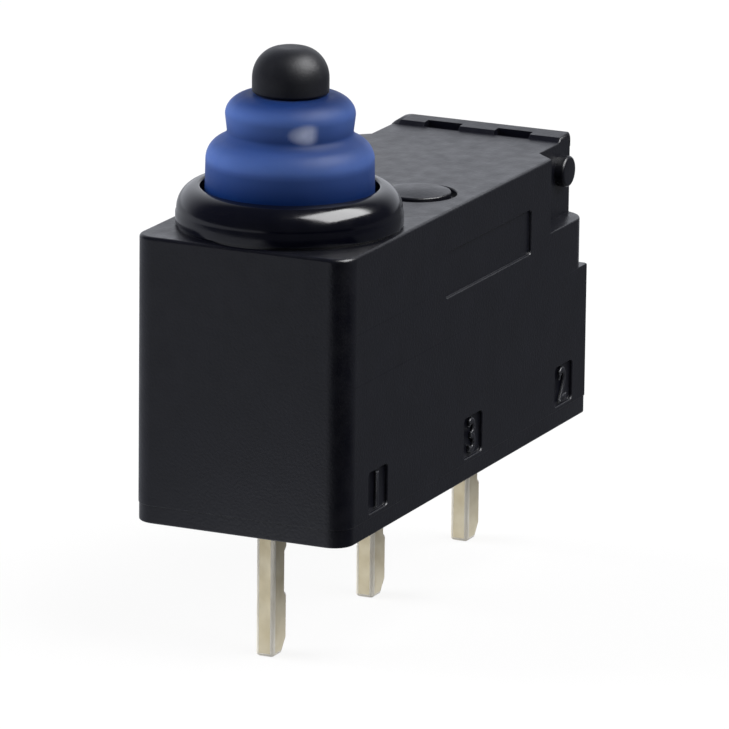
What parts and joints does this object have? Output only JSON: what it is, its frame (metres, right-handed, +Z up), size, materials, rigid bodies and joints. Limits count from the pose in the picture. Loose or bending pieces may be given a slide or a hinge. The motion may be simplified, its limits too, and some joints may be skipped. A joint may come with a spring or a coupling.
{
  "type": "sealed micro switch",
  "caption": "Sealed subminiature snap-action switch: boxy dark case, push pin in a stepped rubber boot held by a ring, and in-line board terminals below.",
  "frame": {"origin": "middle of the case's bottom rim, on the board plane", "axes": "+X along the case from the push pin to the far end, -Y out of the marked side, +Z up out of the board towards the push pin's head"},
  "size_m": [0.0132, 0.0052, 0.0138],
  "materials": {
    "case_plastic": "fine-grained matte charcoal",
    "base_plastic": "matte",
    "resin": "cured resin",
    "ring_plastic": "glossy black",
    "boot_rubber": "satin blue",
    "pin_plastic": "satin charcoal",
    "terminal_metal": "plated, pale champagne",
    "contact_metal": "silver alloy",
    "spring_bronze": "rolled sheet",
    "spring_steel": "drawn wire"
  },
  "bodies": {
    "housing": {"case": "case_plastic", "base": "base_plastic", "sealing_resin": "resin", "retaining_ring": "ring_plastic", "rubber_boot": "boot_rubber", "common_terminal": "terminal_metal", "normally_open_terminal": "terminal_metal", "normally_closed_terminal": "terminal_metal", "normally_open_contact": "contact_metal", "normally_closed_contact": "contact_metal", "snap_spring": "spring_steel"},
    "push_pin": {"plunger": "pin_plastic"},
    "lever": {"drive_lever": "spring_bronze"},
    "arm": {"contact_arm": "spring_bronze", "moving_contact": "contact_metal"}
  },
  "joints": [
    {"name": "plunger_press", "type": "slide", "parent": "housing", "child": "push_pin", "axis": [0, 0, -1], "range_m": [0, 0.0015], "stiffness_N_per_m": 1000, "deforming": ["rubber_boot"]},
    {"name": "lever_swing", "type": "hinge", "parent": "housing", "child": "lever", "pos_m": [-0.00073, 0, 0.0023], "axis": [0, -1, 0], "range_deg": [0, 19.7], "deforming": ["snap_spring"]},
    {"name": "arm_swing", "type": "hinge", "parent": "housing", "child": "arm", "pos_m": [-0.00047, 0, 0.0031], "axis": [0, 1, 0], "range_deg": [0, 5.1]}
  ],
  "couplings": [
    {"joint": "lever_swing", "follows": "plunger_press", "rad_per_m": 228.21},
    {"joint": "arm_swing", "follows": "plunger_press", "rad_per_m": 58.178}
  ]
}
